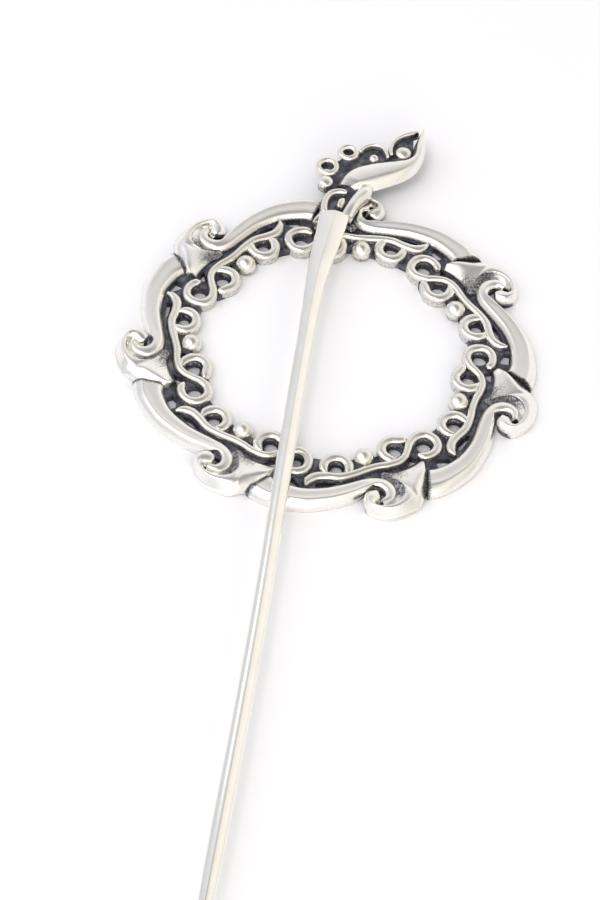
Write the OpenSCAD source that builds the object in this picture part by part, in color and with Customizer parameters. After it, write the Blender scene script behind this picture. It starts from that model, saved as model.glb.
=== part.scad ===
// Openwork ring brooch with a loose stick pin lying across it.
// Units are millimetres. The ring lies flat: its back is z = 0 and its centre is the origin.
// The pin lies along Y on top of the ring, with its head at +Y and its point at -Y.

/* [Ring] */
// Radius of the circle through the bead centres
bead_circle_r = 19; // [14:0.5:26]
// Thickness of the pierced ground plate
ground_h = 1; // [0.7:0.1:1.4]
// Height of the scroll wires above the ground plate
wire_h = 0.85; // [0.5:0.05:1.2]
// Height of the leaf bands above the ground plate
leaf_h = 1.1; // [0.7:0.05:1.3]
// Height of the wave shells above the ground plate
wave_h = 1.3; // [0.9:0.05:1.6]
// Height of the crown step on leaves and waves
crown_h = 0.35; // [0.15:0.05:0.5]
// Direction of the first bead, in degrees from +X
first_bead_angle = 85; // [0:1:360]

/* [Pin] */
// Distance of the pin's axis from the ring's centre
pin_x = -3.25; // [-6:0.25:6]
// Clearance between the pin and the tops of the waves that it crosses
pin_gap = 0.2; // [0.15:0.05:1]
// Y position of the point
tip_y = -102; // [-120:1:-80]
// Width of the shaft along its middle
shaft_w = 2.3; // [1.8:0.05:2.5]
// Width of the flared neck below the head
neck_w = 3.9; // [3:0.1:4.2]

/* [Head] */
// Thickness of the head's ground plate
head_ground_h = 0.9; // [0.6:0.1:1.2]
// Height of the head's wires above its ground plate
head_wire_h = 0.85; // [0.5:0.05:1.2]
// Height of the head's leaf above its ground plate
head_leaf_h = 1.15; // [0.8:0.05:1.4]

/* [Hidden] */
segments = 7;
pitch = 360 / segments;
// Sizes below that end in _k are fractions of the bead circle's radius
wire_k = 0.052;
loop_wire_k = 0.066;
bead_k = 0.075;
bead_post_k = 0.05;
eye_k = 0.057;
loop_k = 0.09;
gap_by_bead_k = 0.014;
inner_k = 1.0;
outer_k = 1.3;
// The ground plate stands these fractions of a band's width inside its inner and outer edges
ground_inset = 0.04;
ground_outer_inset = 0.15;
// The ground plate's strips are this much narrower than the wires on them
ground_strip_w = wire_k * bead_circle_r - 0.15;
ground_loop_w = loop_wire_k * bead_circle_r - 0.2;
steps = 4;

// ---------- curves ----------

// Catmull-Rom point between b and c
function between(a, b, c, d, t) =
    0.5 * (2 * b + (c - a) * t + (2 * a - 5 * b + 4 * c - d) * t * t + (3 * b - a - 3 * c + d) * t * t * t);

// Smooth open curve through points
function smooth(p, n = steps) =
    let (last = len(p) - 1)
    [for (i = [0:last - 1], j = [0:n - 1])
        between(p[max(i - 1, 0)], p[i], p[i + 1], p[min(i + 2, last)], j / n), p[last]];

// Polar point given as [degrees, fraction of the bead circle's radius]
function at(p) = bead_circle_r * p[1] * [cos(p[0]), sin(p[0])];
function polar(list) = [for (p = list) at(p)];
function reversed(list) = [for (i = [len(list) - 1:-1:0]) list[i]];
function unit(v) = v / norm(v);

// Closed outline between two rails, with the sides moved in by fractions of the width
function between_rails(a, b, inset_a = 0, inset_b = 0) =
    let (pa = smooth(a), pb = smooth(b))
    concat(
        [for (i = [0:len(pa) - 1]) pa[i] + (pb[i] - pa[i]) * inset_a],
        reversed([for (i = [0:len(pb) - 1]) pb[i] + (pa[i] - pb[i]) * inset_b])
    );

// Outline of a strip of width w along points, with round ends
function strip(points, w) =
    let (p = smooth(points),
         last = len(p) - 1,
         along = [for (i = [0:last]) unit(p[min(i + 1, last)] - p[max(i - 1, 0)])],
         side = [for (v = along) [-v[1], v[0]] * w / 2])
    concat(
        [for (i = [0:last]) p[i] + side[i]],
        [for (t = [60, 30, 0, -30, -60]) p[last] + side[last] * sin(t) + along[last] * cos(t) * w / 2],
        [for (i = [last:-1:0]) p[i] - side[i]],
        [for (t = [-60, -30, 0, 30, 60]) p[0] + side[0] * sin(t) - along[0] * cos(t) * w / 2]
    );

// Points along an arc about a polar centre, turn = [first, last] degrees from that centre's outward radius
function arc_about(centre, k, turn, n = 9) =
    [for (i = [0:n - 1])
        let (t = centre[0] + turn[0] + (turn[1] - turn[0]) * i / (n - 1))
        at(centre) + bead_circle_r * k * [cos(t), sin(t)]];

// ---------- one seventh of the ring: [degrees from the bead, fraction of the bead circle] ----------

leaf_outer = [[-37, 1.455], [-31, 1.478], [-22, 1.463], [-15, 1.423], [-10, 1.387], [-6.5, 1.356], [-4.4, 1.33],
              [-2.4, 1.305], [-0.2, 1.277], [1.8, 1.292], [2.9, 1.335], [2.6, 1.375], [1.2, 1.40]];
leaf_inner = [[-32.5, 1.27], [-29, 1.295], [-22, 1.305], [-15, 1.28], [-10, 1.25], [-5, 1.22], [-1, 1.205],
              [2.4, 1.215], [5, 1.25], [6.4, 1.31], [6.1, 1.375], [4.4, 1.425], [1.4, 1.443]];
wave_inner = [[1.2, 1.345], [1.35, 1.38], [0.5, 1.405], [-0.3, 1.425], [0.1, 1.455], [2.6, 1.468], [5.4, 1.455],
              [7.8, 1.41], [8.9, 1.345], [8.5, 1.275], [7, 1.228], [5.6, 1.197], [9, 1.195], [13, 1.195],
              [16.5, 1.188], [19, 1.175]];
wave_outer = [[-0.2, 1.318], [-1.7, 1.309], [-3.1, 1.334], [-3.8, 1.383], [-3.5, 1.438], [-2, 1.482], [0.4, 1.523],
              [3.6, 1.545], [7.6, 1.537], [10.6, 1.517], [12.2, 1.487], [13.7, 1.452], [15.3, 1.417], [17, 1.368],
              [18.8, 1.30], [19.7, 1.22]];
wire_path = [[-21.3, 1.27], [-20.6, 1.215], [-18.2, 1.172], [-14.5, 1.16], [-10, 1.163], [-5, 1.14], [0, 1.112],
             [4, 1.103], [8, 1.11], [12, 1.108], [15.2, 1.085], [18, 1.04], [20.6, 0.995], [24.8, 0.97],
             [28.4, 0.995], [29.7, 1.06], [28.6, 1.125], [25.5, 1.158], [22, 1.15], [20, 1.115]];
left_eye = [-11.2, 1.08];
right_eye = [13.1, 0.998];
end_eye = [24.8, 1.062];
bead_at = [0, 1];
// Where each loop starts and ends, in degrees from its own outward radius
left_loop_turn = [50, 308];
right_loop_turn = [-15, -215];
right_loop_end = [20.2, 0.958];
gap_by_tip = [[23.4, 1.275], [28, 1.288], [28.3, 1.25], [25.4, 1.205], [23.4, 1.22]];
gap_by_leaf = [[-18.2, 1.25], [-14, 1.237], [-10.5, 1.215], [-12, 1.203], [-16.5, 1.203], [-18.4, 1.222]];
gap_by_wire = [[14.4, 1.162], [19.6, 1.157], [19, 1.125], [17.4, 1.092], [15.6, 1.125]];
gap_by_bead = [5.2, 1.06];

// Puts a child where segment k stands
module segment(k) {
    rotate(first_bead_angle + pitch * k) children();
}

module leaf_outline(inset = 0) {
    difference() {
        polygon(between_rails(polar(leaf_inner), polar(leaf_outer), inset, inset));
        wave_outline();
        rotate(-pitch) wave_outline();
    }
}

module wave_outline(inset = 0, outer_inset = 0) {
    polygon(between_rails(polar(wave_inner), polar(wave_outer), inset, outer_inset));
}

module wire_outline() {
    polygon(strip(polar(wire_path), wire_k * bead_circle_r));
}

function left_loop_path() = arc_about(left_eye, loop_k, left_loop_turn);
function right_loop_path() = concat(arc_about(right_eye, loop_k, right_loop_turn), [at(right_loop_end)]);

module left_loop_outline() {
    difference() {
        polygon(strip(left_loop_path(), loop_wire_k * bead_circle_r));
        wire_outline();
    }
}

module right_loop_outline() {
    difference() {
        polygon(strip(right_loop_path(), loop_wire_k * bead_circle_r));
        wire_outline();
    }
}

// Extrudes each child by itself, so that the pieces join as solids
module plates(h) {
    for (i = [0:$children - 1]) linear_extrude(h) children(i);
}

// Everything that one segment's pieces stand on
module segment_ground() {
    plates(ground_h) {
        wave_outline(ground_inset, ground_outer_inset);
        polygon(between_rails(polar(leaf_inner), polar(leaf_outer), ground_inset, ground_outer_inset));
        polygon(strip(polar(wire_path), ground_strip_w));
        polygon(strip(left_loop_path(), ground_loop_w));
        polygon(strip(right_loop_path(), ground_loop_w));
    }
    for (eye = [left_eye, right_eye, end_eye])
        translate(at(eye)) cylinder(r = loop_k * bead_circle_r, h = ground_h, $fn = 48);
    translate(at(bead_at)) cylinder(r = bead_post_k * bead_circle_r, h = ground_h, $fn = 48);
}

module segment_gaps() {
    translate([0, 0, -1]) {
        for (eye = [left_eye, right_eye, end_eye])
            translate(at(eye)) cylinder(r = eye_k * bead_circle_r, h = ground_h + 2, $fn = 48);
        for (gap = [gap_by_tip, gap_by_leaf, gap_by_wire])
            linear_extrude(ground_h + 2) polygon(polar(gap));
        translate(at(gap_by_bead)) cylinder(r = gap_by_bead_k * bead_circle_r, h = ground_h + 2, $fn = 24);
    }
}

module ground_ring() {
    color("dimgray")
    difference() {
        union() {
            difference() {
                cylinder(r = outer_k * bead_circle_r, h = ground_h, $fn = 180);
                translate([0, 0, -1]) cylinder(r = inner_k * bead_circle_r, h = ground_h + 2, $fn = 180);
            }
            for (k = [1:segments]) segment(k) segment_ground();
        }
        for (k = [1:segments]) segment(k) segment_gaps();
    }
}

// A plate with a narrower crown on top
module crowned(h, inset) {
    translate([0, 0, ground_h]) {
        linear_extrude(h - crown_h) children(0);
        translate([0, 0, h - crown_h]) linear_extrude(crown_h) children(1);
    }
}

module leaf(k) {
    color("gainsboro") segment(k) crowned(leaf_h) {
        leaf_outline();
        leaf_outline(0.2);
    }
}

module wave(k) {
    color("whitesmoke") segment(k) crowned(wave_h) {
        wave_outline();
        wave_outline(0.2, 0.2);
    }
}

module on_ground(h) {
    translate([0, 0, ground_h]) linear_extrude(h) children();
}

module scroll_wire(k) {
    color("silver") segment(k) on_ground(wire_h) wire_outline();
}

module left_loop(k) {
    color("silver") segment(k) on_ground(wire_h) left_loop_outline();
}

module right_loop(k) {
    color("silver") segment(k) on_ground(wire_h) right_loop_outline();
}

// A ball sunk to its middle in the ground plate's top
module bead(k) {
    r = bead_k * bead_circle_r;
    color("white") segment(k) translate(concat(at(bead_at), [ground_h])) dome(r);
}

module dome(r) {
    intersection() {
        sphere(r = r, $fn = 48);
        translate([-r - 1, -r - 1, 0]) cube([2 * r + 2, 2 * r + 2, r + 1]);
    }
}

// ---------- pin ----------

head_z = ground_h + wave_h + pin_gap;
shaft_h = shaft_w * 0.9;
pin_z = head_z + shaft_h / 2;
// Y position of the joint between neck and head
head_y = 22.7;
// Shaft sections from the neck to the point: [y, sideways offset, width, thickness]
shaft_sections = [
    [head_y, 0.45, neck_w + 0.3, 1.9],
    [19.5, 0.3, neck_w, 2.0],
    [16.5, 0.05, neck_w - 0.25, shaft_h],
    [13.5, -0.2, neck_w - 0.65, shaft_h],
    [9.7, -0.37, neck_w - 1.05, shaft_h],
    [6, -0.39, shaft_w + 0.25, shaft_h],
    [0, -0.36, shaft_w + 0.05, shaft_h],
    [-12, -0.24, shaft_w, shaft_h],
    [-28, -0.02, shaft_w, shaft_h],
    [-38, 0.18, shaft_w, shaft_h],
    [-50, 0.32, shaft_w, shaft_h],
    [-65, 0.34, shaft_w, shaft_h],
    [-80, 0.26, shaft_w, shaft_h],
    [tip_y + 12, 0.2, shaft_w * 0.88, shaft_h * 0.88],
    [tip_y + 4, 0.13, shaft_w * 0.5, shaft_h * 0.5],
    [tip_y, 0.1, 0.2, 0.2]
];
shaft_sides = 12;

// A bar through sections [y, x, width, thickness]
module bar(sections, sides) {
    rows = smooth(sections, 3);
    last = len(rows) - 1;
    points = [for (s = rows, j = [0:sides - 1])
        let (t = (j + 0.5) * 360 / sides)
        [s[1] + s[2] / 2 * cos(t) / cos(180 / sides), s[0], s[3] / 2 * sin(t) / cos(180 / sides)]];
    walls = [for (i = [0:last - 1], j = [0:sides - 1])
        let (a = i * sides + j, b = i * sides + (j + 1) % sides)
        [a, b, b + sides, a + sides]];
    ends = [[for (j = [sides - 1:-1:0]) j], [for (j = [0:sides - 1]) last * sides + j]];
    polyhedron(points, concat(walls, ends));
}

module pin_shaft() {
    color("silver") translate([pin_x, 0, pin_z]) bar(shaft_sections, shaft_sides);
}

// ---------- pin head: plan points in millimetres from the middle of the neck's end ----------

head_leaf_upper = [[0.5, 5.4], [0.95, 7.3], [2.2, 9], [4.1, 10.1], [6.1, 10.9], [7.9, 11.5], [9.3, 12.1], [10.1, 13.2],
                   [10.2, 14.8], [10.3, 16.4], [10.7, 18.3]];
head_leaf_lower = [[2.7, 5.2], [4, 5.7], [5.4, 6.2], [6.8, 7.1], [8.4, 8.2], [9.8, 9.5], [10.8, 11], [11.35, 12.8],
                   [11.55, 14.6], [11.4, 16.5], [11, 18.4]];
strut_left = [[1.3, 0], [1.85, 1.8], [2.4, 3.6], [3.1, 4.8]];
strut_right = [[3, 0], [3.35, 1.4], [4, 3], [5, 4.6]];
neck_hook_path = [[1.6, 4.3], [0.4, 4.25], [-0.55, 3.7], [-1.05, 2.6], [-1.15, 1.4], [-0.95, 0.5]];
neck_curl_path = [[1.35, 2.9], [1, 2.1], [0.95, 1.1]];
rim_wire_path = [[2.4, 12.3], [3, 13.4], [4.2, 14.1], [5.4, 13.9], [6.1, 12.9], [6.5, 11.9]];
tip_hook_path = [[6.9, 12.6], [6.7, 13.9], [7, 15.4], [7.9, 16.6], [9.1, 17.4], [10, 18.1]];
curl_at = [8.5, 13.6];
curl_r = 1.15;
upper_eyelet_at = [0.8, 12];
upper_eyelet_r = [1.6, 0.65];
lower_eyelet_at = [-1.75, 8.7];
lower_eyelet_r = [1.75, 0.8];
lobe_at = [-1.6, 5.85];
lobe_r = 1.05;
head_bead_at = [4.5, 11.75];
head_bead_r = 0.75;
thin_wire_w = 0.6;
hook_w = 0.95;
curl_w = 1;
// The head's ground plate stands back from the pieces on it, by a share of a band's width or by a margin
head_inset = 0.05;
head_margin = 0.1;
// Plate between the outlines of the head's pieces
head_field = [[-1.3, 0], [2.8, 0], [3.3, 2], [4.4, 4.8], [6, 8], [9.5, 12], [9.8, 15], [9.5, 17.4], [7.5, 15.8],
              [6.8, 13], [5.2, 13.7], [3.4, 13.4], [1.5, 12.2], [-0.3, 10.6], [-1.5, 9], [-1.7, 6.5], [-1.2, 4]];

module on_head() {
    translate([pin_x, head_y, head_z]) children();
}

module on_head_ground(h) {
    on_head() translate([0, 0, head_ground_h]) linear_extrude(h) children();
}

module head_leaf_outline(inset = 0, outer_inset = 0) {
    polygon(between_rails(head_leaf_upper, head_leaf_lower, inset, outer_inset));
}

module strut_outline(inset = 0) {
    polygon(between_rails(strut_left, strut_right, inset, inset));
}

module eyelet_outline(at, r) {
    translate(at) difference() {
        circle(r = r[0], $fn = 48);
        circle(r = r[1], $fn = 48);
    }
}

module head_ground() {
    color("dimgray") on_head() difference() {
        union() {
            plates(head_ground_h) {
                polygon(head_field);
                head_leaf_outline(head_inset, ground_outer_inset);
                strut_outline(head_inset);
                translate(lobe_at) circle(r = lobe_r - head_margin, $fn = 48);
                polygon(strip(neck_hook_path, hook_w - 2 * head_margin));
                polygon(strip(rim_wire_path, thin_wire_w - head_margin));
                polygon(strip(tip_hook_path, thin_wire_w - head_margin));
            }
            translate(upper_eyelet_at) cylinder(r = upper_eyelet_r[0] - head_margin, h = head_ground_h, $fn = 48);
            translate(lower_eyelet_at) cylinder(r = lower_eyelet_r[0] - head_margin, h = head_ground_h, $fn = 48);
        }
        translate([0, 0, -1]) {
            translate(upper_eyelet_at) cylinder(r = upper_eyelet_r[1], h = head_ground_h + 2, $fn = 48);
            translate(lower_eyelet_at) cylinder(r = lower_eyelet_r[1], h = head_ground_h + 2, $fn = 48);
        }
    }
}

module head_leaf() {
    color("gainsboro") on_head_ground(head_leaf_h) head_leaf_outline();
}

module head_tip_hook() {
    color("silver") on_head_ground(head_wire_h) difference() {
        polygon(strip(tip_hook_path, thin_wire_w));
        head_leaf_outline();
    }
}

module head_curl() {
    color("whitesmoke") on_head_ground(head_wire_h) difference() {
        translate(curl_at) circle(r = curl_r, $fn = 48);
        head_leaf_outline();
    }
}

module neck_strut() {
    color("whitesmoke") on_head_ground(head_leaf_h) difference() {
        strut_outline();
        head_leaf_outline();
    }
}

module neck_hook() {
    color("silver") on_head_ground(head_wire_h) difference() {
        polygon(strip(neck_hook_path, hook_w));
        head_leaf_outline();
        strut_outline();
    }
}

module neck_curl() {
    color("whitesmoke") on_head_ground(head_wire_h) difference() {
        polygon(strip(neck_curl_path, curl_w));
        strut_outline();
    }
}

module head_eyelet_1() {
    color("silver") on_head_ground(head_wire_h) eyelet_outline(upper_eyelet_at, upper_eyelet_r);
}

module head_eyelet_2() {
    color("silver") on_head_ground(head_wire_h) eyelet_outline(lower_eyelet_at, lower_eyelet_r);
}

module head_lobe() {
    color("silver") on_head_ground(head_wire_h) translate(lobe_at) circle(r = lobe_r, $fn = 48);
}

module head_bead() {
    color("white") on_head() translate(concat(head_bead_at, [head_ground_h])) dome(head_bead_r);
}

module head_rim_wire() {
    color("silver") on_head_ground(head_wire_h) difference() {
        polygon(strip(rim_wire_path, thin_wire_w));
        eyelet_outline(upper_eyelet_at, upper_eyelet_r);
        head_leaf_outline();
    }
}

ground_ring();
for (k = [1:segments]) {
    leaf(k);
    wave(k);
    scroll_wire(k);
    left_loop(k);
    right_loop(k);
    bead(k);
}
pin_shaft();
head_ground();
head_leaf();
head_tip_hook();
head_curl();
neck_hook();
neck_curl();
neck_strut();
head_eyelet_1();
head_eyelet_2();
head_lobe();
head_bead();
head_rim_wire();
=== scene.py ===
"""Looks of the openwork silver ring brooch and its loose stick pin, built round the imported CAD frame.

Plan points are millimetres, or degrees and fractions of the bead circle's radius, as in the CAD source.
"""

import math

import bmesh
import bpy
import numpy as np
from mathutils import Matrix, Vector


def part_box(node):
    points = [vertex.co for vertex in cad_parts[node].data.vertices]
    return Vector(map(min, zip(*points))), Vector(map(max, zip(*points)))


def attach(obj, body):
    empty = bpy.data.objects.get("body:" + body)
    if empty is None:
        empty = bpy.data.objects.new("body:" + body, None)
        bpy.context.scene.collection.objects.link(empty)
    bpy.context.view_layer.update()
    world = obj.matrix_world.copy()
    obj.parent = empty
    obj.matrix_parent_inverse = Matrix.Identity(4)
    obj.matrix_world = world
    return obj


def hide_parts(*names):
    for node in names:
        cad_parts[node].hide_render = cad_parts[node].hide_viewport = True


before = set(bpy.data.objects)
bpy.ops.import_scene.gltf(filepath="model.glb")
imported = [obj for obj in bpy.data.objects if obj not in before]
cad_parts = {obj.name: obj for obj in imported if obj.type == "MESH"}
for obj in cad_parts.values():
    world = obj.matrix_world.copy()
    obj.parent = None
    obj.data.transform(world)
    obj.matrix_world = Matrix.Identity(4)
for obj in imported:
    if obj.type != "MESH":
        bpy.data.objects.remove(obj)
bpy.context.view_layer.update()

MM = 0.001


# ---------- sizes read from the frame, in millimetres ----------


def low(node):
    return np.array(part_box(node)[0]) / MM


def high(node):
    return np.array(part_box(node)[1]) / MM


def middle(node):
    return (low(node) + high(node)) / 2


SEGMENTS = 7
PITCH = 360 / SEGMENTS
# The last segment has come full circle, so its bead stands at the angle that the turning starts from
last_bead = middle(f"bead_{SEGMENTS}")
BEAD_CIRCLE = math.hypot(last_bead[0], last_bead[1])
FIRST_BEAD_ANGLE = math.degrees(math.atan2(last_bead[1], last_bead[0]))
BEAD_R = (high("bead_1") - low("bead_1"))[0] / 2
GROUND_TOP = high("ground_ring")[2]
LEAF_TOP = high("leaf_1")[2]
WAVE_TOP = high("wave_1")[2]
WIRE_TOP = high("scroll_wire_1")[2]

# ---------- outlines: one seventh of the ring, [degrees from the bead, fraction of bead circle] ----------

LEAF_OUTER = [[-37, 1.455], [-31, 1.478], [-22, 1.463], [-15, 1.423], [-10, 1.387], [-6.5, 1.356],
              [-4.4, 1.33], [-2.4, 1.305], [-0.2, 1.277], [1.8, 1.292], [2.9, 1.335], [2.6, 1.375],
              [1.2, 1.40]]
LEAF_INNER = [[-32.5, 1.27], [-29, 1.295], [-22, 1.305], [-15, 1.28], [-10, 1.25], [-5, 1.22], [-1, 1.205],
              [2.4, 1.215], [5, 1.25], [6.4, 1.31], [6.1, 1.375], [4.4, 1.425], [1.4, 1.443]]
WAVE_INNER = [[1.2, 1.345], [1.35, 1.38], [0.5, 1.405], [-0.3, 1.425], [0.1, 1.455], [2.6, 1.468],
              [5.4, 1.455], [7.8, 1.41], [8.9, 1.345], [8.5, 1.275], [7, 1.228], [5.6, 1.197], [9, 1.195],
              [13, 1.195], [16.5, 1.188], [19, 1.175]]
WAVE_OUTER = [[-0.2, 1.318], [-1.7, 1.309], [-3.1, 1.334], [-3.8, 1.383], [-3.5, 1.438], [-2, 1.482],
              [0.4, 1.523], [3.6, 1.545], [7.6, 1.537], [10.6, 1.517], [12.2, 1.487], [13.7, 1.452],
              [15.3, 1.417], [17, 1.368], [18.8, 1.30], [19.7, 1.22]]
WIRE_PATH = [[-21.3, 1.27], [-20.6, 1.215], [-18.2, 1.172], [-14.5, 1.16], [-10, 1.163], [-5, 1.14],
             [0, 1.112], [4, 1.103], [8, 1.11], [12, 1.108], [15.2, 1.085], [18, 1.04], [20.6, 0.995],
             [24.8, 0.97], [28.4, 0.995], [29.7, 1.06], [28.6, 1.125], [25.5, 1.158], [22, 1.15],
             [20, 1.115]]
LEFT_EYE = [-11.2, 1.08]
RIGHT_EYE = [13.1, 0.998]
LEFT_LOOP_TURN = [50, 308]
RIGHT_LOOP_TURN = [-15, -215]
RIGHT_LOOP_END = [20.2, 0.958]

LOOP_POINTS = 9
# Fractions of the bead circle: a loop's radius, and the widths of the scroll wire and of the loops' wire
LOOP_K, WIRE_K, LOOP_WIRE_K = 0.09, 0.057, 0.074
WIRE_W = WIRE_K * BEAD_CIRCLE
LOOP_W = LOOP_WIRE_K * BEAD_CIRCLE

# ---------- outlines of the pin's head, in millimetres from the middle of the neck's end ----------

HEAD_LEAF_UPPER = [[0.5, 5.4], [0.95, 7.3], [2.2, 9], [4.1, 10.1], [6.1, 10.9], [7.9, 11.5], [9.3, 12.1],
                   [10.1, 13.2], [10.2, 14.8], [10.3, 16.4], [10.7, 18.3]]
HEAD_LEAF_LOWER = [[2.7, 5.2], [4, 5.7], [5.4, 6.2], [6.8, 7.1], [8.4, 8.2], [9.8, 9.5], [10.8, 11],
                   [11.35, 12.8], [11.55, 14.6], [11.4, 16.5], [11, 18.4]]
STRUT_LEFT = [[1.2, -0.3], [1.85, 1.8], [2.4, 3.6], [3, 4.8], [3.4, 6]]
STRUT_RIGHT = [[2.9, -0.3], [3.35, 1.4], [4, 3], [5, 4.6], [5.1, 6.2]]
NECK_HOOK = [[1.6, 4.3], [0.4, 4.25], [-0.55, 3.7], [-1.05, 2.6], [-1.15, 1.4], [-1.05, 0.5], [-0.95, -0.3]]
NECK_CURL = [[1.35, 2.9], [1, 2.1], [0.95, 1.1]]
RIM_WIRE = [[2.4, 12.3], [3, 13.4], [4.2, 14.1], [5.4, 13.9], [6.1, 12.9], [6.5, 11.9]]
TIP_HOOK = [[6.9, 12.6], [6.7, 13.9], [7, 15.4], [7.9, 16.6], [9.1, 17.4], [10, 18.1]]
THIN_WIRE_W, HOOK_W, NECK_CURL_W = 0.6, 0.95, 1.0
CURL_AT, CURL_R = [8.5, 13.6], 1.15
UPPER_EYELET, UPPER_EYELET_R = [0.8, 12], [1.6, 0.65]
LOWER_EYELET, LOWER_EYELET_R = [-1.75, 8.7], [1.75, 0.8]
LOBE_AT, LOBE_R = [-1.6, 5.85], 1.05
HEAD_BEAD_AT, HEAD_BEAD_R = [4.5, 11.75], 0.75

HEAD_X, HEAD_Y = middle("head_bead")[:2] - np.array(HEAD_BEAD_AT)
HEAD_Z = low("head_ground")[2]
HEAD_GROUND_TOP = high("head_ground")[2]
HEAD_LEAF_TOP = high("head_leaf")[2]
HEAD_WIRE_TOP = high("neck_hook")[2]

# ---------- curves ----------


def smooth(points, steps):
    """Catmull-Rom curve through points, with that many steps a span."""
    p = np.array(points, float)
    last = len(p) - 1
    made = []
    for i in range(last):
        a, b, c, d = p[max(i - 1, 0)], p[i], p[i + 1], p[min(i + 2, last)]
        square = 2 * a - 5 * b + 4 * c - d
        cube = 3 * b - a - 3 * c + d
        for t in np.arange(steps) / steps:
            made.append(0.5 * (2 * b + (c - a) * t + square * t**2 + cube * t**3))
    return np.array(made + [p[last]])


def at(point):
    """Plan place in millimetres of [degrees, fraction of bead circle]."""
    angle = math.radians(point[0])
    return BEAD_CIRCLE * point[1] * np.array([math.cos(angle), math.sin(angle)])


def polar(points):
    return np.array([at(p) for p in points])


def loop_about(eye, turn):
    """Points of a loop about an eye, turn = [first, last] degrees from the eye's outward radius."""
    angles = np.radians(eye[0] + np.linspace(turn[0], turn[1], LOOP_POINTS))
    return at(eye) + BEAD_CIRCLE * LOOP_K * np.stack([np.cos(angles), np.sin(angles)], 1)


def ease(x, low_x, high_x):
    """0 below low_x, 1 above high_x, smooth between."""
    t = np.clip((np.asarray(x, float) - low_x) / (high_x - low_x), 0, 1)
    return t * t * (3 - 2 * t)


def ease_in_out(x, rise, fall):
    """0 before the rise range, 1 from its end to the start of the fall range, and 0 after that."""
    return ease(x, *rise) * (1 - ease(x, *fall))


def turned(points, degrees):
    """Points turned about the ring's centre."""
    a = math.radians(degrees)
    c, s = math.cos(a), math.sin(a)
    turned_points = np.array(points, float)
    turned_points[..., 0] = c * points[..., 0] - s * points[..., 1]
    turned_points[..., 1] = s * points[..., 0] + c * points[..., 1]
    return turned_points


# ---------- meshes ----------

SHARP_ANGLE = 50
SHAFT_SHARP_ANGLE = 75


def new_piece(name, points, faces, dark, sharp=SHARP_ANGLE):
    """A mesh object from millimetre points, with the share of dark patina at each point, which on the beads
    also holds painted shade.
    """
    mesh = bpy.data.meshes.new(name)
    mesh.from_pydata((np.asarray(points) * MM).tolist(), [], faces)
    # The attribute holds patina, and on the beads also painted shade
    attribute = mesh.attributes.new("patina_and_shade", "FLOAT", "POINT")
    attribute.data.foreach_set("value", np.asarray(dark, np.float32))
    work = bmesh.new()
    work.from_mesh(mesh)
    bmesh.ops.recalc_face_normals(work, faces=work.faces)
    work.to_mesh(mesh)
    work.free()
    mesh.shade_smooth()
    mesh.set_sharp_from_angle(angle=math.radians(sharp))
    piece = bpy.data.objects.new(name, mesh)
    bpy.context.scene.collection.objects.link(piece)
    return piece


def loft(name, rows, dark, sharp=SHARP_ANGLE):
    """A closed solid through rows of closed sections, shape (stations, points round, 3)."""
    stations, around = rows.shape[:2]
    faces = []
    for i in range(stations - 1):
        for j in range(around):
            a, b = i * around + j, i * around + (j + 1) % around
            faces.append((a, b, b + around, a + around))
    points = rows.reshape(-1, 3)
    shades = dark.reshape(-1)
    for ring, first in ((0, 0), (stations - 1, (stations - 1) * around)):
        centre = len(points)
        points = np.vstack([points, rows[ring].mean(0)])
        shades = np.append(shades, dark[ring].mean())
        faces += [(first + j, first + (j + 1) % around, centre) for j in range(around)]
    return new_piece(name, points, faces, shades, sharp)


def crown(across, power):
    """Height share of a domed section, close to 0 at both edges and 1 in the middle."""
    across = np.clip(across, 0.004, 0.996)
    return (1 - np.abs(2 * across - 1) ** power) ** (1 / power)


def rounded(across, left, top, right, power):
    """Domed heights with their own edge height on each side."""
    edge = np.where(across < 0.5, left, right)
    return edge + (top - edge) * crown(across, power)


def away_from(rail, other):
    """Unit vectors square to a rail, on the side that faces away from the other rail."""
    along = np.gradient(rail, axis=0)
    square = np.stack([-along[:, 1], along[:, 0]], 1) / np.linalg.norm(along, axis=1)[:, None]
    return square * np.sign(((rail - other) * square).sum())


def band_rows(rail_a, rail_b, section, steps):
    """Rows of a band between two rails, and their patina.

    section(t) gives the places across, heights and patina at t spans from the start. Across runs from 0 at
    rail_a to 1 at rail_b, and a value below 0 is that many millimetres outside rail_a.
    """
    a, b = smooth(rail_a, steps), smooth(rail_b, steps)
    outward = away_from(a, b)
    rows, dark = [], []
    for i in range(len(a)):
        across, height, shade = section(i / steps)
        across = across[:, None]
        plan = a[i] + (b[i] - a[i]) * np.maximum(across, 0) + outward[i] * np.maximum(-across, 0)
        rows.append(np.column_stack([plan, height]))
        dark.append(shade)
    return np.array(rows), np.array(dark)


# Points in the wall at each side of a band or a wire
WALL = 3
# How deep the foot of a wall stands in the ground plate
BITE = 0.2
SOFTEN_PASSES = 3


def soften(rows):
    """Averages a band's heights between its two walls with their neighbours, in place."""
    height = rows[:, WALL:-WALL, 2]
    for _ in range(SOFTEN_PASSES):
        height[:, 1:-1] = (height[:, :-2] + 2 * height[:, 1:-1] + height[:, 2:]) / 4
        height[1:-1] = (height[:-2] + 2 * height[1:-1] + height[2:]) / 4


# ---------- wires ----------

# The two kinds of wall, from the foot up, in half widths: a flank on the ground, and a wall that tucks in
FLANK = np.array([1.46, 1.32, 1.14])
UNDERCUT = np.array([0.80, 0.93, 1])
# Shares of the drop from the shoulder to the foot
WALL_DROP = np.array([1, 0.66, 0.33])
# The shoulder's share of a wire's height, the least rise of the arch over it, and the points in the arch
SHOULDER_SHARE, LEAST_RISE, ARCH_POINTS = 0.32, 0.45, 13
WIRE_PATINA_HEIGHT = 0.45


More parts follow.
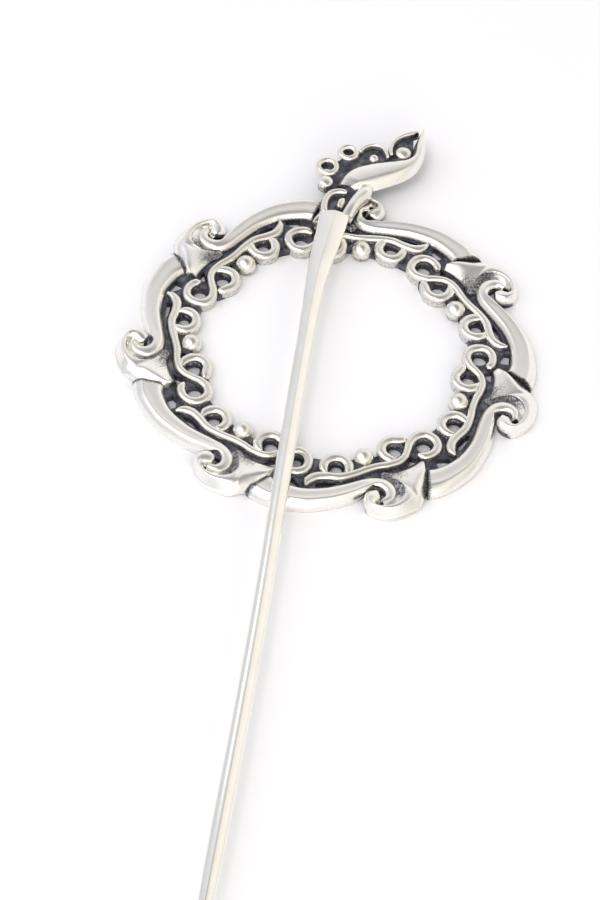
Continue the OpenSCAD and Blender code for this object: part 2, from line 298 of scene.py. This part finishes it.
def round_ends(run, widths, length):
    """Share of the full width along a wire that is round at both ends; length stretches each end."""
    from_start = np.clip(run / (0.6 * widths[0] * length[0]), 0.12, 1)
    from_end = np.clip((run[-1] - run) / (0.6 * widths[-1] * length[1]), 0.12, 1)
    return np.sqrt(1 - (1 - from_start) ** 2) * np.sqrt(1 - (1 - from_end) ** 2)


def wire_wall(foot, base, shoulder):
    """One wall's half widths and heights, from the foot up, and how much patina it takes."""
    on_ground = foot > base - 0.3
    height = shoulder + (foot - shoulder) * WALL_DROP
    return (FLANK, height, 1) if on_ground else (UNDERCUT, height, 0.35)


def wire_rows(path, width, base, top, steps, feet=None, ends=(1, 1)):
    """Rows of a round-topped wire on the ground at base, and their patina.

    Width is a number, or a pair of lists: shares of the length, and the widths there.
    feet(point, side) gives how low the left and the right wall reach.
    """
    p = smooth(path, steps)
    along = np.gradient(p, axis=0)
    along /= np.linalg.norm(along, axis=1)[:, None]
    side = np.stack([-along[:, 1], along[:, 0]], 1)
    run = np.concatenate([[0], np.cumsum(np.linalg.norm(np.diff(p, axis=0), axis=1))])
    widths = np.full(len(run), width) if isinstance(width, float) else np.interp(run / run[-1], *width)
    share = round_ends(run, widths, ends)
    shoulder = base + SHOULDER_SHARE * (top - base)
    angles = np.radians(np.linspace(0, 180, ARCH_POINTS))
    arch_across = np.sign(np.cos(angles)) * np.abs(np.cos(angles)) ** 0.9
    arch_height = np.sin(angles) ** 0.95
    rows, dark = [], []
    for i in range(len(p)):
        half = widths[i] / 2 * share[i]
        rise = (top - shoulder) * (LEAST_RISE + (1 - LEAST_RISE) * share[i])
        left_foot, right_foot = feet(p[i], side[i]) if feet else (base - BITE, base - BITE)
        left, left_height, left_dark = wire_wall(left_foot, base, shoulder)
        right, right_height, right_dark = wire_wall(right_foot, base, shoulder)
        offset = np.concatenate([half * left, half * arch_across, -half * right[::-1]])
        height = np.concatenate([left_height, shoulder + rise * arch_height, right_height[::-1]])
        shade = np.clip((base + WIRE_PATINA_HEIGHT - height) / WIRE_PATINA_HEIGHT, 0, 1)
        shade[:WALL] *= left_dark
        shade[-WALL:] *= right_dark
        rows.append(np.column_stack([p[i] + side[i] * offset[:, None], height]))
        dark.append(shade)
    return np.array(rows), np.array(dark)


# ---------- nodes ----------

BLACK, WHITE = (0, 0, 0), (1, 1, 1)


class Nodes:
    """Short ways to add and join the nodes of a tree, which starts empty."""

    def __init__(self, tree):
        self.tree = tree
        self.tree.nodes.clear()

    def add(self, kind, **settings):
        node = self.tree.nodes.new(kind)
        for key, value in settings.items():
            setattr(node, key, value)
        return node

    def link(self, a, b):
        self.tree.links.new(a, b)

    def math(self, operation, a, b, c=0.0):
        node = self.add("ShaderNodeMath", operation=operation)
        for socket, value in zip(node.inputs, (a, b, c)):
            if isinstance(value, float):
                socket.default_value = value
            else:
                self.link(value, socket)
        return node.outputs[0]

    def ramp(self, value, *stops):
        node = self.add("ShaderNodeValToRGB")
        while len(node.color_ramp.elements) < len(stops):
            node.color_ramp.elements.new(0.5)
        for element, (position, color) in zip(node.color_ramp.elements, stops):
            element.position = position
            element.color = (*color, 1)
        self.link(value, node.inputs[0])
        return node.outputs[0]

    def mix(self, share, a, b, blend="MIX"):
        node = self.add("ShaderNodeMix", data_type="RGBA", blend_type=blend)
        for socket, value in ((node.inputs[0], share), (node.inputs[6], a), (node.inputs[7], b)):
            if isinstance(value, tuple):
                socket.default_value = (*value, 1)
            elif isinstance(value, float):
                socket.default_value = value
            else:
                self.link(value, socket)
        return node.outputs[2]


class Surface(Nodes):
    """A new material's nodes, with a Principled shader and patterns that stay on the object."""

    def __init__(self, name):
        self.material = bpy.data.materials.new(name)
        self.material.use_nodes = True
        super().__init__(self.material.node_tree)
        output = self.add("ShaderNodeOutputMaterial")
        self.shader = self.add("ShaderNodeBsdfPrincipled")
        self.link(self.shader.outputs[0], output.inputs[0])
        self.place = self.add("ShaderNodeTexCoord").outputs["Object"]

    def feed(self, socket, value):
        """Links a pattern to one of the shader's sockets."""
        self.link(value, self.shader.inputs[socket])

    def noise(self, scale, detail, roughness, stretch=None):
        node = self.add("ShaderNodeTexNoise")
        node.inputs["Scale"].default_value = scale
        node.inputs["Detail"].default_value = detail
        node.inputs["Roughness"].default_value = roughness
        if stretch is None:
            self.link(self.place, node.inputs["Vector"])
        else:
            mapping = self.add("ShaderNodeMapping")
            mapping.inputs["Scale"].default_value = stretch
            self.link(self.place, mapping.inputs["Vector"])
            self.link(mapping.outputs[0], node.inputs["Vector"])
        return node.outputs["Fac"]

    def bump(self, height, distance, strength, below=None):
        """A bump of a depth in metres, on top of the one below."""
        node = self.add("ShaderNodeBump")
        node.inputs["Distance"].default_value = distance
        node.inputs["Strength"].default_value = strength
        self.link(height, node.inputs["Height"])
        if below is not None:
            self.link(below, node.inputs["Normal"])
        return node.outputs[0]


# ---------- materials ----------

# Blue-black of the patina, which on the beads also paints shade
PATINA_AND_SHADE_COLOR = (0.072, 0.075, 0.086)
WORN_COLOR = (0.45, 0.44, 0.42)
LONG_SCRATCH = (1.0, 0.12, 1.0)
ROUGHNESS_SPREAD = 0.14


def silver(name, light, warm, roughness):
    """Cloudy, finely scratched silver that goes blue-black where its dark attribute is high: patina in the
    hollows, and on the beads also painted shade over their lower halves.
    """
    s = Surface(name)
    patina_and_shade = s.add("ShaderNodeAttribute", attribute_name="patina_and_shade").outputs["Fac"]
    grain = s.noise(scale=4200, detail=6, roughness=0.62)
    cloud = s.noise(scale=260, detail=4, roughness=0.55)
    # Grain breaks up the edge of the dark patina and painted shade, and leaves clean silver alone
    uneven = s.math("MULTIPLY", s.math("SUBTRACT", grain, 0.5), 1.8)
    near_dark = s.math("MINIMUM", s.math("MULTIPLY", patina_and_shade, 4.0), 1.0)
    broken = s.math("ADD", patina_and_shade, s.math("MULTIPLY", uneven, near_dark))
    dark = s.ramp(broken, (0.22, BLACK), (0.5, (0.45, 0.45, 0.45)), (0.85, WHITE))
    tone = s.ramp(cloud, (0.32, light), (0.68, warm))
    s.feed("Base Color", s.mix(dark, tone, PATINA_AND_SHADE_COLOR))
    rubbing = s.noise(scale=700, detail=3, roughness=0.5)
    rubbed = s.math("MULTIPLY_ADD", rubbing, ROUGHNESS_SPREAD, roughness - ROUGHNESS_SPREAD / 2)
    s.feed("Roughness", s.math("MAXIMUM", rubbed, s.math("MULTIPLY", dark, 0.5)))
    s.shader.inputs["Metallic"].default_value = 1.0
    dents = s.bump(s.noise(scale=260, detail=2, roughness=0.4), distance=0.00002, strength=0.2)
    scratches = s.noise(scale=2600, detail=2, roughness=0.5, stretch=LONG_SCRATCH)
    s.feed("Normal", s.bump(scratches, distance=0.000003, strength=0.25, below=dents))
    return s.material


def oxidised(name):
    """Blackened silver with a fine stipple and paler worn grains."""
    s = Surface(name)
    grain = s.noise(scale=5200, detail=7, roughness=0.68)
    cloud = s.noise(scale=800, detail=6, roughness=0.6)
    base = s.ramp(
        cloud,
        (0.34, (0.026, 0.029, 0.042)),
        (0.52, (0.080, 0.085, 0.106)),
        (0.68, (0.20, 0.205, 0.22)),
    )
    worn = s.ramp(grain, (0.58, BLACK), (0.70, WHITE))
    s.feed("Base Color", s.mix(s.math("MULTIPLY", worn, 0.5), base, WORN_COLOR))
    s.feed("Roughness", s.math("MULTIPLY_ADD", grain, 0.3, 0.28))
    s.shader.inputs["Metallic"].default_value = 0.6
    pits = s.bump(cloud, distance=0.0001, strength=0.4)
    s.feed("Normal", s.bump(grain, distance=0.00005, strength=0.7, below=pits))
    return s.material


def floor_paper(name):
    """Almost white paper with a faint tooth."""
    s = Surface(name)
    cloud = s.noise(scale=9, detail=3, roughness=0.5)
    s.feed("Base Color", s.ramp(cloud, (0.3, (0.95, 0.945, 0.96)), (0.7, (0.965, 0.96, 0.975))))
    s.shader.inputs["Roughness"].default_value = 0.75
    s.shader.inputs["Specular IOR Level"].default_value = 0.25
    tooth = s.noise(scale=1800, detail=4, roughness=0.5)
    s.feed("Normal", s.bump(tooth, distance=0.00002, strength=0.15))
    return s.material


polished = silver("polished_silver", light=(0.875, 0.85, 0.80), warm=(0.83, 0.795, 0.725), roughness=0.27)
burnished = silver("burnished_silver", light=(0.93, 0.91, 0.875), warm=(0.90, 0.875, 0.82), roughness=0.28)
drawn = silver("drawn_silver", light=(0.93, 0.91, 0.865), warm=(0.90, 0.87, 0.80), roughness=0.17)
blackened = oxidised("oxidised_silver")


def place(piece, material, body, node):
    """Gives a piece its material, hangs it on its body, and hides the CAD node that it stands in for."""
    piece.data.materials.append(material)
    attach(piece, body)
    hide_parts(node)


# ---------- sections of the ring's bands ----------

# Places across a band, from the foot of its inner wall over the back to the foot of its outer wall
BAND_ACROSS = np.array([-0.25, -0.2, -0.09, 0.012, 0.04, 0.09, 0.16, 0.25, 0.35, 0.45, 0.54, 0.61, 0.655,
                        0.69, 0.73, 0.79, 0.86, 0.92, 0.965, 0.998, 0.985, 0.93])
# Heights of the outer edge, and of the wall that tucks in below it down to the table
OUTER_EDGE_Z = 0.72
OUTER_WALL = np.array([OUTER_EDGE_Z, 0.5, 0.05])
GROUND_FOOT = GROUND_TOP - BITE


def shade_by_height(height):
    """Patina gathers low against the ground plate and fades out above it."""
    return np.clip((GROUND_TOP + 0.32 - height) / 0.3, 0, 1)


def leaf_section(t):
    """A crowned band, bevelled down to the table outside, which becomes a round-backed curl at the hook."""
    u = BAND_ACROSS.copy()
    u[:WALL] = [-0.45, -0.36, -0.16]
    hook = ease(t, 5.2, 7.6)
    shoulder = GROUND_TOP + 0.6
    inner_wall = [GROUND_FOOT, GROUND_TOP + 0.1, shoulder - 0.1]

    # The band: a rounded inner edge, a slightly hollow back, a ridge, and the bevel outside it
    round_to, back_z = 0.2, LEAF_TOP - 0.08
    ridge_at, ridge_z = 0.67, LEAF_TOP - 0.03
    quarter = np.sqrt(1 - (1 - np.clip(u / round_to, 0, 1)) ** 2)
    inner = shoulder + (back_z - shoulder) * quarter
    hollow = 0.05 * np.sin(math.pi * np.clip((u - round_to) / (ridge_at - round_to), 0, 1))
    lip = 0.05 * ease(u, 0.5, ridge_at)
    inner = np.where(u > round_to, inner - hollow + lip, inner)
    slope = np.clip((u - ridge_at) / (1 - ridge_at), 0, 1)
    bevel = ridge_z + (OUTER_EDGE_Z - ridge_z) * slope**1.7
    band = np.where(u < ridge_at, inner, bevel)
    band[:WALL] = inner_wall
    band[-WALL:] = OUTER_WALL

    curl = rounded(u, shoulder, LEAF_TOP - 0.02, GROUND_TOP + 0.55, 2.1)
    curl[:WALL] = inner_wall
    curl[-WALL:] = [GROUND_TOP + 0.5, GROUND_TOP + 0.2, GROUND_FOOT]

    height = band + (curl - band) * hook
    # The dark crevice at the start, where the wave of the segment before ends on the leaf
    crevice = 0.85 * (1 - ease(t, 0.05, 0.4))
    shade = np.maximum(shade_by_height(height) * np.where(u > 0.6, hook, 1), crevice)
    return u, height, shade


def wave_section(t):
    """A nose and an arch with round backs, then a wide shell with a ridge that runs to its tail."""
    # Where the wave faces the hook, its inner flank spreads until it fills the groove between them
    fill = ease_in_out(t, (4.0, 6.5), (10.6, 12.0))
    reach = 0.3 + 0.65 * fill
    u = BAND_ACROSS.copy()
    u[:WALL] = [-reach, -0.95 * reach, -0.5 * reach]
    # Shares that the outer wall goes down to the table, and that the arch has become the shell
    to_table = ease(t, 3.2, 4.6)
    body = ease(t, 8.2, 11)
    top = WAVE_TOP - 0.25 * (1 - ease(t, 0, 2.5)) - 0.25 * ease(t, 13, 15)
    groove = GROUND_TOP + 0.3 + 0.35 * ease(t, 4, 6) - 0.15 * ease(t, 11, 12.5)

    arch = rounded(u, groove, top, GROUND_TOP + 0.35, 2.1)
    arch += (OUTER_EDGE_Z - arch) * ease(u, 0.6, 1.0) ** 1.6 * to_table

    ridge_at = 0.80 - 0.36 * ease(t, 10, 13.5)
    rise = np.clip(u / ridge_at, 0, 1)
    inside = groove + (top - groove) * rise**0.7 - 0.12 * np.sin(math.pi * rise)
    outside = top + (OUTER_EDGE_Z - top) * np.clip((u - ridge_at) / (1 - ridge_at), 0, 1) ** 2.1
    shell = np.where(u < ridge_at, inside, outside)

    height = arch + (shell - arch) * body
    flank_low = GROUND_TOP + 0.12 + 0.36 * fill
    flank_high = (groove + GROUND_TOP) / 2 + 0.1 + 0.15 * fill
    height[:WALL] = [GROUND_FOOT, flank_low, flank_high]
    ground_wall = np.array([GROUND_TOP + 0.4, GROUND_TOP + 0.2, GROUND_FOOT])
    height[-WALL:] = OUTER_WALL * to_table + ground_wall * (1 - to_table)

    stipple = 0.72 * np.clip(1 - u / 0.5, 0, 1) * ease_in_out(t, (5.5, 7.5), (12, 13.5))
    low_shade = shade_by_height(height) * np.where(u > 0.55, 1 - to_table, 1)
    low_shade[:WALL + 1] *= 1 - 0.6 * ease_in_out(t, (4.2, 5.5), (10.8, 12))
    # The wave's side of the crevice at its tail
    crevice = 0.6 * ease(t, 14.5, 15)
    shade = np.maximum(np.maximum(stipple, low_shade), crevice)
    return u, height, shade


# ---------- the ring's beads and wires ----------


def ball(name, centre, radius, bottom):
    """A slightly uneven ball, cut flat at the bottom, with patina round its foot and painted shade over its
    lower half, up to a little above its middle.
    """
    rings, around = 18, 32
    pole, unevenness = 0.06, 0.012
    turn = np.linspace(0, 2 * math.pi, around, endpoint=False)
    rows = np.empty((rings, around, 3))
    for i, p in enumerate(np.linspace(pole, math.pi - pole, rings)):
        uneven = radius * (1 - unevenness * (1 + np.cos(3 * turn + 2 * p)) / 2)
        rows[i, :, 0] = centre[0] + uneven * math.sin(p) * np.cos(turn)
        rows[i, :, 1] = centre[1] + uneven * math.sin(p) * np.sin(turn)
        rows[i, :, 2] = np.maximum(centre[2] + radius * math.cos(p), bottom)
    # Painted shade: the ball darkens over its lower half and fades out a little above its middle, together
    # with the patina at its foot
    dark = 0.6 * ease(centre[2] - rows[:, :, 2], -0.45, 0.5)
    return loft(name, rows, dark)


def feet_towards_centre(low_side):
    """Walls reach the table where that side of a wire overhangs the opening, and the ground elsewhere."""

    def feet(point, side):
        on_ground, on_table = GROUND_TOP - 0.25, 0.06
        edge = np.linalg.norm(point + side * low_side * WIRE_W / 2)
        down = 1 - ease(edge, BEAD_CIRCLE * 0.985, BEAD_CIRCLE * 1.015)
        foot = on_ground + (on_table - on_ground) * down
        return (foot, on_ground) if low_side > 0 else (on_ground, foot)

    return feet


def ring_wire(path, widths, low_side, ends):
    """Rows of one of the ring's wires; low_side is 1 or -1, the side towards the opening."""
    return wire_rows(path, widths, GROUND_TOP, WIRE_TOP, 5, feet_towards_centre(low_side), ends)


left_loop_path = loop_about(LEFT_EYE, LEFT_LOOP_TURN)
right_loop_path = np.vstack([loop_about(RIGHT_EYE, RIGHT_LOOP_TURN), at(RIGHT_LOOP_END)])

# Widths along a wire: shares of its length, and the widths there
LOOP_WIDTHS = ([0, 0.15, 0.5, 0.85, 1], [LOOP_W * w for w in (0.8, 0.95, 1, 0.95, 0.8)])
SCROLL_WIDTHS = (
    [0, 0.06, 0.16, 0.3, 0.62, 0.72, 1],
    [WIRE_W * w for w in (0.8, 1.25, 1.15, 1, 1, 1.25, 1.1)],
)

leaf_rows, leaf_dark = band_rows(polar(LEAF_INNER), polar(LEAF_OUTER), leaf_section, steps=7)
wave_rows, wave_dark = band_rows(polar(WAVE_INNER), polar(WAVE_OUTER), wave_section, steps=6)
soften(leaf_rows)
soften(wave_rows)

# Kind of piece: rows, patina, material and slot
RING_KINDS = {
    "leaf": (leaf_rows, leaf_dark, burnished, "burnished_silver"),
    "wave": (wave_rows, wave_dark, burnished, "burnished_silver"),
    "scroll_wire": (*ring_wire(polar(WIRE_PATH), SCROLL_WIDTHS, 1, (2.2, 1)), polished, "polished_silver"),
    "left_loop": (*ring_wire(left_loop_path, LOOP_WIDTHS, -1, (1, 2)), polished, "polished_silver"),
    "right_loop": (*ring_wire(right_loop_path, LOOP_WIDTHS, 1, (2, 1)), polished, "polished_silver"),
}
# How far a bead's flat bottom is off the table
BEAD_BOTTOM = 0.03

for k in range(1, SEGMENTS + 1):
    angle = FIRST_BEAD_ANGLE + PITCH * k
    for kind, (rows, dark, material, slot) in RING_KINDS.items():
        piece = loft(f"{kind}_{k}_silver", turned(rows, angle), dark)
        place(piece, material, "ring", f"{kind}_{k}")
    bead_x, bead_y = middle(f"bead_{k}")[:2]
    bead = ball(f"bead_{k}_silver", (bead_x, bead_y, GROUND_TOP), BEAD_R, BEAD_BOTTOM)
    place(bead, polished, "ring", f"bead_{k}")

# ---------- pin ----------

NECK_W, SHAFT_W, SHAFT_H = 3.9, 2.3, 2.07
PIN_X = HEAD_X
PIN_Z = (low("pin_shaft")[2] + high("pin_shaft")[2]) / 2
TIP_Y = low("pin_shaft")[1]
# Shaft sections from the neck to the point: [y, sideways offset, width, thickness]
SHAFT = [[HEAD_Y, 0.45, NECK_W + 0.3, 1.9], [19.5, 0.3, NECK_W, 2.0], [16.5, 0.05, NECK_W - 0.25, SHAFT_H],
         [13.5, -0.2, NECK_W - 0.65, SHAFT_H], [9.7, -0.37, NECK_W - 1.05, SHAFT_H],
         [6, -0.39, SHAFT_W + 0.25, SHAFT_H], [0, -0.36, SHAFT_W + 0.05, SHAFT_H],
         [-12, -0.24, SHAFT_W, SHAFT_H], [-28, -0.02, SHAFT_W, SHAFT_H], [-38, 0.18, SHAFT_W, SHAFT_H],
         [-50, 0.32, SHAFT_W, SHAFT_H], [-65, 0.34, SHAFT_W, SHAFT_H], [-80, 0.26, SHAFT_W, SHAFT_H],
         [TIP_Y + 12, 0.2, SHAFT_W * 0.88, SHAFT_H * 0.88], [TIP_Y + 4, 0.13, SHAFT_W * 0.5, SHAFT_H * 0.5],
         [TIP_Y, 0.1, 0.2, 0.2]]
# One section, in half widths and half thicknesses: two facets that meet in a soft ridge, and a round back
SHAFT_SECTION = [[1, 0], [0.93, 0.36], [0.55, 0.74], [0.1, 0.99], [-0.12, 0.99], [-0.6, 0.7], [-0.94, 0.34],
                 [-1, 0], [-0.86, -0.52], [-0.5, -0.87], [0, -1], [0.5, -0.87], [0.86, -0.52]]


def closed_curve(corners, steps):
    """A smooth curve round a shape, apart from the last span back to the start, which is straight."""
    before, after = 2, 3
    extended = smooth(corners[-before:] + corners + corners[:after], steps)
    return extended[before * steps:-after * steps]


def shaft_rows():
    """Sections along the shaft, from the neck to the point."""
    around = closed_curve(SHAFT_SECTION, 4)
    around /= np.abs(around).max(0)
    rows = []
    for y, x, width, thick in smooth(SHAFT, 8):
        across = PIN_X + x + width / 2 * around[:, 0]
        height = PIN_Z + thick / 2 * around[:, 1]
        rows.append(np.column_stack([across, np.full(len(around), y), height]))
    return np.array(rows)


rows = shaft_rows()
clean = np.zeros(rows.shape[:2])
shaft = loft("pin_shaft_silver", rows, clean, SHAFT_SHARP_ANGLE)
place(shaft, drawn, "pin", "pin_shaft")

# ---------- pin head ----------


def on_head(points):
    return np.array(points, float) + [HEAD_X, HEAD_Y]


def head_leaf_section(t):
    """A band like the ring's leaf, thinner, whose inner flank and back come down towards its tip."""
    u = BAND_ACROSS.copy()
    u[:WALL] *= 1 + 1.5 * (1 - ease(t, 6.5, 9.5))
    ridge_at, dome_to = 0.68, 0.9
    shoulder, edge_z = HEAD_GROUND_TOP + 0.5, HEAD_Z + 0.5
    top = HEAD_LEAF_TOP - 0.25 * ease(t, 7.5, 10) - 0.3 * (1 - ease(t, 0, 1))
    dome = rounded(np.clip(u / dome_to, 0, 1), shoulder, top, shoulder, 2.6)
    slope = np.clip((u - ridge_at) / (1 - ridge_at), 0, 1)
    height = np.where(u < ridge_at, dome, top - 0.05 + (edge_z - top) * slope**1.6)
    height[:WALL + 1] = HEAD_GROUND_TOP + np.array([-BITE, 0, 0.35, 0.6])
    height[-WALL:] = [edge_z, HEAD_Z + 0.36, HEAD_Z + 0.03]
    shade = np.zeros(len(u))
    shade[:WALL + 1] = [1, 1, 0.5, 0.1]
    return u, height, shade


def strut_section(t):
    """A round-backed strut that sinks at both ends."""
    u = BAND_ACROSS
    edge = HEAD_GROUND_TOP + 0.2
    top = HEAD_LEAF_TOP - 0.1 - 0.3 * (1 - ease(t, 0, 1.2)) - 0.35 * ease(t, 3, 4)
    height = edge + (top - edge) * crown(u, 2.3)
    height[:WALL] = HEAD_GROUND_TOP + np.array([-BITE, 0, 0.15])
    height[-2:] = [HEAD_Z + 0.3, HEAD_Z + 0.03]
    shade = np.zeros(len(u))
    shade[:WALL] = [1, 0.8, 0.4]
    return u, height, shade


def head_band(node, upper, lower, section, steps):
    """A band of the head between two rails, as its own piece."""
    rows, dark = band_rows(on_head(upper), on_head(lower), section, steps)
    place(loft(f"{node}_silver", rows, dark), burnished, "pin", node)


def head_wire(node, path, width, ends=(1, 1)):
    """A wire of the head, standing on the head's ground plate."""
    rows, dark = wire_rows(on_head(path), width, HEAD_GROUND_TOP, HEAD_WIRE_TOP, 6, None, ends)
    place(loft(f"{node}_silver", rows, dark), polished, "pin", node)


def head_eyelet(node, centre, radii):
    """A round-backed ring whose outside wall reaches the head's underside."""
    around, section = 48, 15
    outer, inner = radii
    mid, half = (outer + inner) / 2, (outer - inner) / 2
    angles = np.radians(np.linspace(180, 0, section))
    edge = HEAD_GROUND_TOP + 0.15
    back = edge + (HEAD_WIRE_TOP - edge) * np.sin(angles) ** 0.9
    radius = np.concatenate([[mid - half], mid + half * np.cos(angles), [mid + half * 0.97]])
    height = np.concatenate([[HEAD_GROUND_TOP - 0.3], back, [HEAD_Z + 0.04]])
    count = len(radius)
    dark = np.zeros(count)
    dark[:WALL] = [1, 0.8, 0.4]
    x, y = on_head(centre)
    points, faces = [], []
    for i in range(around):
        a = 2 * math.pi * i / around
        points += [(x + r * math.cos(a), y + r * math.sin(a), z) for r, z in zip(radius, height)]
        for j in range(count):
            i2, j2 = (i + 1) % around, (j + 1) % count
            faces.append((i * count + j, i * count + j2, i2 * count + j2, i2 * count + j))
    piece = new_piece(f"{node}_silver", points, faces, np.tile(dark, around))
    place(piece, polished, "pin", node)


def head_pebble(node, centre, radius, doming):
    """A low dome on a wall; doming is the dome's share of their height over the ground plate."""
    rings, around = 9, 32
    x, y = on_head(centre)
    turn = np.linspace(0, 2 * math.pi, around, endpoint=False)
    levels = [(1.0, HEAD_Z + 0.04), (1.0, HEAD_GROUND_TOP)]
    for a in np.radians(np.linspace(0, 86, rings)):
        rise = 1 - doming + doming * math.sin(a)
        levels.append((math.cos(a), HEAD_GROUND_TOP + (HEAD_WIRE_TOP - HEAD_GROUND_TOP) * rise))
    rows = np.empty((len(levels), around, 3))
    for row, (share, z) in zip(rows, levels):
        row[:, 0] = x + radius * share * np.cos(turn)
        row[:, 1] = y + radius * share * np.sin(turn)
        row[:, 2] = z
    dark = np.zeros(rows.shape[:2])
    dark[0] = 0.6
    dark[1] = 0.5
    place(loft(f"{node}_silver", rows, dark), polished, "pin", node)


head_band("head_leaf", HEAD_LEAF_UPPER, HEAD_LEAF_LOWER, head_leaf_section, 7)
head_band("neck_strut", STRUT_LEFT, STRUT_RIGHT, strut_section, 8)
head_wire("head_tip_hook", TIP_HOOK, THIN_WIRE_W, (1, 3))
head_wire("head_rim_wire", RIM_WIRE, THIN_WIRE_W)
head_wire("neck_hook", NECK_HOOK, HOOK_W)
head_wire("neck_curl", NECK_CURL, NECK_CURL_W)
head_eyelet("head_eyelet_1", UPPER_EYELET, UPPER_EYELET_R)
head_eyelet("head_eyelet_2", LOWER_EYELET, LOWER_EYELET_R)
head_pebble("head_lobe", LOBE_AT, LOBE_R, 0.6)
head_pebble("head_curl", CURL_AT, CURL_R, 0.7)
head_bead_centre = (*on_head(HEAD_BEAD_AT), HEAD_GROUND_TOP)
head_bead = ball("head_bead_silver", head_bead_centre, HEAD_BEAD_R, HEAD_Z + BEAD_BOTTOM)
place(head_bead, polished, "pin", "head_bead")

for node in ("ground_ring", "head_ground"):
    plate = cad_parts[node].data
    plate.materials.clear()
    plate.materials.append(blackened)

# ---------- floor and light ----------

FLOOR_HALF = 1.6

floor_mesh = bpy.data.meshes.new("floor")
corners = [(FLOOR_HALF * x, FLOOR_HALF * y, 0) for x, y in ((-1, -1), (1, -1), (1, 1), (-1, 1))]
floor_mesh.from_pydata(corners, [], [(0, 1, 2, 3)])
floor_mesh.materials.append(floor_paper("floor_paper"))
floor = bpy.data.objects.new("floor", floor_mesh)
bpy.context.scene.collection.objects.link(floor)


def softbox(name, where, aim, size, power, color):
    """A rectangular area light at where, facing aim, both in metres."""
    data = bpy.data.lights.new(name, "AREA")
    data.shape = "RECTANGLE"
    data.size, data.size_y = size
    data.energy = power
    data.color = color
    light = bpy.data.objects.new(name, data)
    light.location = where
    light.rotation_mode = "QUATERNION"
    light.rotation_quaternion = (Vector(aim) - Vector(where)).to_track_quat("-Z", "Y")
    bpy.context.scene.collection.objects.link(light)


DAYLIGHT, WARM_LIGHT = (1.0, 0.985, 0.965), (1.0, 0.97, 0.92)
CENTRE, BELOW_CENTRE, ON_SHAFT = (0, 0, 0), (0, -0.02, 0), (-0.003, -0.058, 0.004)

softbox("window_left", (-0.5, -0.3, 0.8), CENTRE, size=(1.4, 1.1), power=4.0, color=DAYLIGHT)
softbox("fill_front", (0.3, -0.95, 0.4), BELOW_CENTRE, size=(0.6, 0.4), power=1.6, color=WARM_LIGHT)
softbox("spark", (-0.2, -0.42, 0.84), CENTRE, size=(0.3, 0.3), power=1.45, color=WHITE)
softbox("glint", (-0.241, 0.143, 0.16), ON_SHAFT, size=(0.05, 0.04), power=0.007, color=WHITE)

# Surroundings that the silver mirrors: from the left to the right, and from the horizon up
SKY_ACROSS = (
    (0.0, (0.62, 0.645, 0.70)),
    (0.18, (0.72, 0.74, 0.79)),
    (0.42, (0.97, 0.965, 0.96)),
    (0.9, (1.0, 0.96, 0.90)),
    (1.0, (0.7, 0.67, 0.63)),
)
SKY_UP = (
    (0.0, (0.90, 0.90, 0.90)),
    (0.35, (1.0, 1.0, 1.0)),
    (0.66, (0.92, 0.92, 0.93)),
    (0.84, (0.45, 0.45, 0.47)),
    (0.95, (0.28, 0.28, 0.30)),
    (1.0, (0.30, 0.30, 0.32)),
)
SKY_STRENGTH = 1.1


def studio_sky():
    """Soft surroundings, the product of one ramp across and one ramp up."""
    world = bpy.data.worlds.new("studio")
    world.use_nodes = True
    n = Nodes(world.node_tree)
    direction = n.add("ShaderNodeSeparateXYZ")
    n.link(n.add("ShaderNodeTexCoord").outputs["Generated"], direction.inputs[0])
    across = n.add("ShaderNodeMapRange")
    across.inputs["From Min"].default_value = -1.0
    n.link(direction.outputs["X"], across.inputs[0])
    color_across = n.ramp(across.outputs[0], *SKY_ACROSS)
    color_up = n.ramp(direction.outputs["Z"], *SKY_UP)
    color = n.mix(1.0, color_across, color_up, "MULTIPLY")
    light = n.add("ShaderNodeBackground")
    light.inputs["Strength"].default_value = SKY_STRENGTH
    n.link(color, light.inputs["Color"])
    n.link(light.outputs[0], n.add("ShaderNodeOutputWorld").inputs[0])
    return world


bpy.context.scene.world = studio_sky()
bpy.context.scene.view_settings.view_transform = "Standard"

# ---------- camera ----------

CAMERA_AIM = Vector((-1.72, -18.62, WIRE_TOP)) * MM
CAMERA_DISTANCE = 446.9 * MM
CAMERA_ELEVATION = math.radians(50.96)
CAMERA_TURN = math.radians(3.27)
CAMERA_ROLL = math.radians(6.14)
CAMERA_LENS, CAMERA_SENSOR = 135.19, 36
CAMERA_CLIP = 0.01, 10


def aimed_camera():
    """The camera, raised and rolled as it looks along the Y axis, then turned about the vertical."""
    back = Vector((0, -math.cos(CAMERA_ELEVATION), math.sin(CAMERA_ELEVATION)))
    right = Vector((1, 0, 0))
    up = back.cross(right)
    rolled_right = right * math.cos(CAMERA_ROLL) + up * math.sin(CAMERA_ROLL)
    rolled_up = up * math.cos(CAMERA_ROLL) - right * math.sin(CAMERA_ROLL)
    axes = Matrix((rolled_right, rolled_up, back)).transposed()
    turn = Matrix.Rotation(CAMERA_TURN, 3, "Z")
    data = bpy.data.cameras.new("camera")
    data.lens = CAMERA_LENS
    data.sensor_width = CAMERA_SENSOR
    data.clip_start, data.clip_end = CAMERA_CLIP
    camera = bpy.data.objects.new("camera", data)
    where = CAMERA_AIM + turn @ back * CAMERA_DISTANCE
    camera.matrix_world = Matrix.LocRotScale(where, (turn @ axes).to_quaternion(), None)
    bpy.context.scene.collection.objects.link(camera)
    return camera


bpy.context.scene.camera = aimed_camera()
